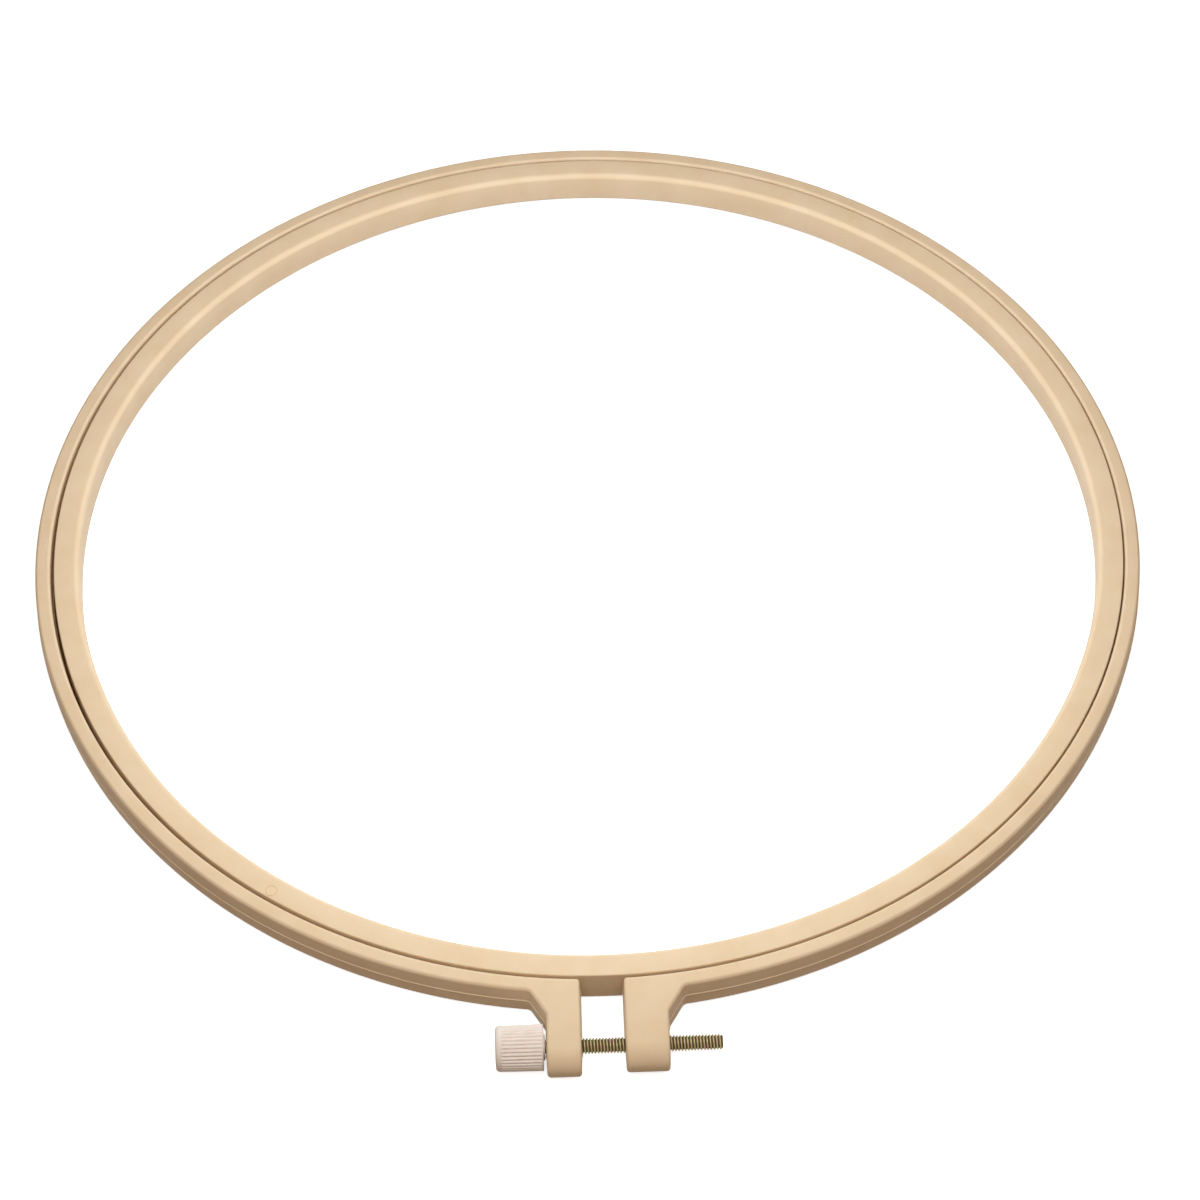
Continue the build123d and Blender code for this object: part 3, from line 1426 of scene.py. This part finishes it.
@dataclass(frozen=True)
class View:
    """The photograph's camera, as found from the two ellipses of the hoop.

    It stands on the lugs' side of the hoop, aimed at it. Then it turns by yaw, pitch and roll,
    and swings round the hoop by turn. Lengths are in millimetres, and angles in degrees.
    """

    distance: float = 915.0
    elevation: float = 49.25
    yaw: float = -0.20
    pitch: float = -1.29
    roll: float = 1.25
    turn: float = -0.64
    lens: float = 99.12
    sensor: float = 36.0
    clip_start: float = 10.0

    def set_camera(self, aim: Vector) -> None:
        """Adds the camera.

        Args:
            aim: The middle of the ring's top, in metres.
        """
        rise = math.radians(self.elevation)
        back = Vector((0, -math.cos(rise), math.sin(rise)))
        right = (-back).cross(Vector((0, 0, 1))).normalized()
        axes = {"right": right, "up": back.cross(right), "back": back.copy()}
        for name, angle in (("up", self.yaw), ("right", self.pitch), ("back", -self.roll)):
            spin = Matrix.Rotation(math.radians(angle), 3, axes[name])
            axes = {key: spin @ axis for key, axis in axes.items()}
        swing = Matrix.Rotation(math.radians(self.turn), 3, "Z")
        columns = Matrix([swing @ axis for axis in axes.values()]).transposed()
        camera = bpy.data.cameras.new("camera")
        camera.lens = self.lens
        camera.sensor_width = self.sensor
        camera.clip_start = self.clip_start * MM
        holder = bpy.data.objects.new("camera", camera)
        place = aim + swing @ (back * self.distance * MM)
        holder.matrix_world = Matrix.Translation(place) @ columns.to_4x4()
        bpy.context.scene.collection.objects.link(holder)
        bpy.context.scene.camera = holder


@dataclass(frozen=True)
class Softbox:
    """A round lamp with a diffuser, level over the floor: sizes in metres, power in watts."""

    name: str
    size: float
    height: float
    toward_view: float
    power: float
    colour: Colour

    def hang(self, middle: Vector) -> None:
        """Hangs the lamp above the ring's middle, or as far toward the camera as it says.

        Args:
            middle: The middle of the ring.
        """
        lamp = bpy.data.lights.new(self.name, "AREA")
        lamp.shape = "DISK"
        lamp.size = self.size
        lamp.energy = self.power
        lamp.color = self.colour
        holder = bpy.data.objects.new(self.name, lamp)
        holder.location = (middle.x, middle.y - self.toward_view, self.height)
        holder.visible_camera = False
        bpy.context.scene.collection.objects.link(holder)


@dataclass(frozen=True)
class Studio:
    """A pale floor and plain soft light: lamps overhead, and an even, warm fill all round.

    The fill sets in a little below the horizon and is full a little above it. What looks at
    the floor or past it sees white, but for a warm dark shadow painted on the floor down in the
    hoops' groove. Sizes are in metres.
    """

    floor_size: float = 8.0
    floor_drop: float = 0.0001
    floor_shade: Colour = (0.22, 0.14, 0.08)
    floor_seen: Colour = (0.97, 0.97, 0.97)
    floor_glow: float = 0.75
    # The shadow painted on the floor down in the hoops' groove: its colour, the groove's radius and
    # width, and how far round it stops short of the split
    painted_groove_shadow: Colour = (0.42, 0.22, 0.08)
    groove_radius: float = 0.1477
    groove_room: float = 0.003
    split_degrees: float = 12.0
    fill_strength: float = 0.27
    fill_begins: float = -0.2
    fill_full: float = 0.1
    fill_colour: Colour = (1.0, 0.78, 0.58)
    softboxes: tuple[Softbox, ...] = (
        Softbox("near_softbox", 0.25, 0.055, 0.0, 0.28, (0.75, 0.86, 0.96)),
        Softbox("high_softbox", 0.6, 0.65, 0.35, 3.2, (0.9, 0.94, 0.95)),
    )

    def find_groove_shadow(self, sheet: Sheet, middle: Vector) -> Socket:
        """Finds the floor down in the hoops' groove, up to the split, where a shadow is painted.

        Args:
            sheet: The floor's sheet.
            middle: The middle of the ring.

        Returns:
            1 in the groove, and 0 elsewhere.
        """
        ring_middle = (middle.x, middle.y, 0.0)
        split_y = middle.y - self.groove_radius * math.cos(math.radians(self.split_degrees))
        place_y = sheet.add("ShaderNodeSeparateXYZ", {"Vector": sheet.place}).outputs["Y"]
        orbit = sheet.add(
            "ShaderNodeVectorMath", {0: sheet.place, 1: ring_middle}, operation="DISTANCE"
        ).outputs["Value"]
        in_ring = sheet.reckon("COMPARE", orbit, self.groove_radius, self.groove_room)
        past_split = sheet.reckon("GREATER_THAN", place_y, split_y)
        return sheet.reckon("MULTIPLY", in_ring, past_split)

    def lay_floor(self, middle: Vector) -> None:
        """Lays the floor: white to the eye, with a warm dark painted shadow in the hoops' groove.

        Args:
            middle: The middle of the ring.
        """
        deselect_all()
        place = (0, 0, -self.floor_drop)
        bpy.ops.mesh.primitive_plane_add(size=self.floor_size, location=place)
        floor = name_new_piece("pale_floor")
        bpy.ops.object.transform_apply(location=True)
        sheet = new_material_sheet("pale_floor")
        seen = sheet.seen_share()
        groove_shadow_mask = self.find_groove_shadow(sheet, middle)
        # Painted shadow: down in the groove the floor's glow is taken out and a warm dark colour
        # shows instead
        glow = sheet.reckon("SUBTRACT", seen, groove_shadow_mask, clamp=True)
        seen_colour = sheet.blend(groove_shadow_mask, self.floor_seen, self.painted_groove_shadow)
        shader = sheet.add(
            "ShaderNodeBsdfPrincipled",
            {
                "Base Color": sheet.blend(seen, self.floor_shade, seen_colour),
                "Roughness": 1.0,
                "Specular IOR Level": 0.0,
                "Emission Color": opaque(WHITE),
                "Emission Strength": sheet.reckon("MULTIPLY", glow, self.floor_glow),
            },
        )
        floor.data.materials.append(sheet.close(shader))

    def light_world(self) -> None:
        """Fills in evenly from all round, and shows white to the eye."""
        world = bpy.data.worlds.new("surroundings")
        bpy.context.scene.world = world
        sheet = Sheet(world, "ShaderNodeOutputWorld")
        way = {"Vector": sheet.coordinates["Generated"]}
        strength = sheet.add(
            "ShaderNodeMapRange",
            {
                "Value": sheet.add("ShaderNodeSeparateXYZ", way).outputs["Z"],
                "From Min": self.fill_begins,
                "From Max": self.fill_full,
                "To Max": self.fill_strength,
            },
            interpolation_type="SMOOTHSTEP",
        )
        fill = sheet.add(
            "ShaderNodeBackground",
            {"Color": opaque(self.fill_colour), "Strength": strength.outputs["Result"]},
        )
        white = sheet.add("ShaderNodeBackground", {"Color": opaque(WHITE)})
        layers = {0: sheet.seen_share(), 1: fill.outputs[0], 2: white.outputs[0]}
        sheet.close(sheet.add("ShaderNodeMixShader", layers))

    def build(self, middle: Vector) -> None:
        """Sets up floor, lamps, world and view.

        Args:
            middle: The middle of the ring.
        """
        self.lay_floor(middle)
        for softbox in self.softboxes:
            softbox.hang(middle)
        self.light_world()
        bpy.context.scene.view_settings.view_transform = "Standard"


@dataclass(frozen=True)
class EmbroideryHoop:
    """The whole hoop: its places come from the frame, and its pieces share their finishes."""

    nodes: dict[str, bpy.types.Object]
    outer: OuterHoop = OuterHoop()
    inner: InnerHoop = InnerHoop()
    screw: ClampScrew = ClampScrew()
    knob: ThumbKnob = ThumbKnob()
    nut: CaptiveNut = CaptiveNut()
    beige: MouldedPlastic = MouldedPlastic(
        "hoop_plastic", colour=linear(231, 206, 173), cloud_colour=linear(227, 200, 165)
    )
    cream: MouldedPlastic = MouldedPlastic(
        "knob_plastic",
        colour=linear(246, 234, 225),
        cloud_colour=linear(240, 226, 215),
        clouds=Patches(4.0, 4.0, 0.35, 0.68),
    )
    screw_plate: PassivatedSteel = PassivatedSteel(
        "screw_steel",
        brown=linear(178, 154, 116),
        olive=linear(178, 178, 124),
        rose=linear(198, 164, 142),
        # root: painted shade down in the screw's thread roots
        root=linear(86, 68, 48),
        painted_shade_radius=1.5,
        painted_shade_end_radius=1.78,
    )
    nut_plate: PassivatedSteel = PassivatedSteel(
        "nut_steel",
        brown=linear(120, 100, 78),
        olive=linear(132, 132, 92),
        rose=linear(142, 112, 100),
        # root: painted shade inside the nut's threaded bore
        root=linear(60, 48, 36),
        painted_shade_radius=1.9,
        painted_shade_end_radius=2.1,
    )

    @property
    def ring_middle(self) -> Vector:
        """Finds the middle of the outer ring, half way up.

        Returns:
            Its place, in metres.
        """
        low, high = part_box(self.outer.fitting.node)
        tip_to_middle = (self.outer.radius + self.outer.knob_lug.reach) * MM
        return Vector((0, low.y + tip_to_middle, (low.z + high.z) / 2))

    @property
    def ring_top(self) -> Vector:
        """The middle of the outer ring's top, in metres."""
        return Vector((0, self.ring_middle.y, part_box(self.outer.fitting.node)[1].z))

    def build(self) -> list[bpy.types.Object]:
        """Builds and dresses the pieces in order.

        Returns:
            The pieces.
        """
        inner_low, inner_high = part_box(self.inner.fitting.node)
        screw_low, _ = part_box(self.screw.fitting.node)
        knob_low, knob_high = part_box(self.knob.fitting.node)
        axis = (knob_low + knob_high) / 2
        neck_x = screw_low.x + self.screw.head_thickness * MM
        lip_x = knob_high.x - self.knob.hub_length * MM
        beige = self.beige.make()
        return [
            self.outer.build(self.ring_middle, beige),
            self.inner.build((inner_low + inner_high) / 2, beige),
            self.screw.build(Vector((neck_x, axis.y, axis.z)), self.screw_plate.make(axis)),
            self.knob.build(Vector((lip_x, axis.y, axis.z)), self.cream.make()),
            self.nut.dress(self.nodes, self.nut_plate.make(axis)),
        ]


def main() -> None:
    """Loads the frame, builds the hoop round it and sets up the studio."""
    logging.basicConfig(level=logging.INFO, format="%(name)s: %(message)s")
    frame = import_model()
    hoop = EmbroideryHoop(frame["nodes"])
    for piece in hoop.build():
        report(piece)
    View().set_camera(hoop.ring_top)
    Studio().build(hoop.ring_middle)


if __name__ == "__main__":
    main()
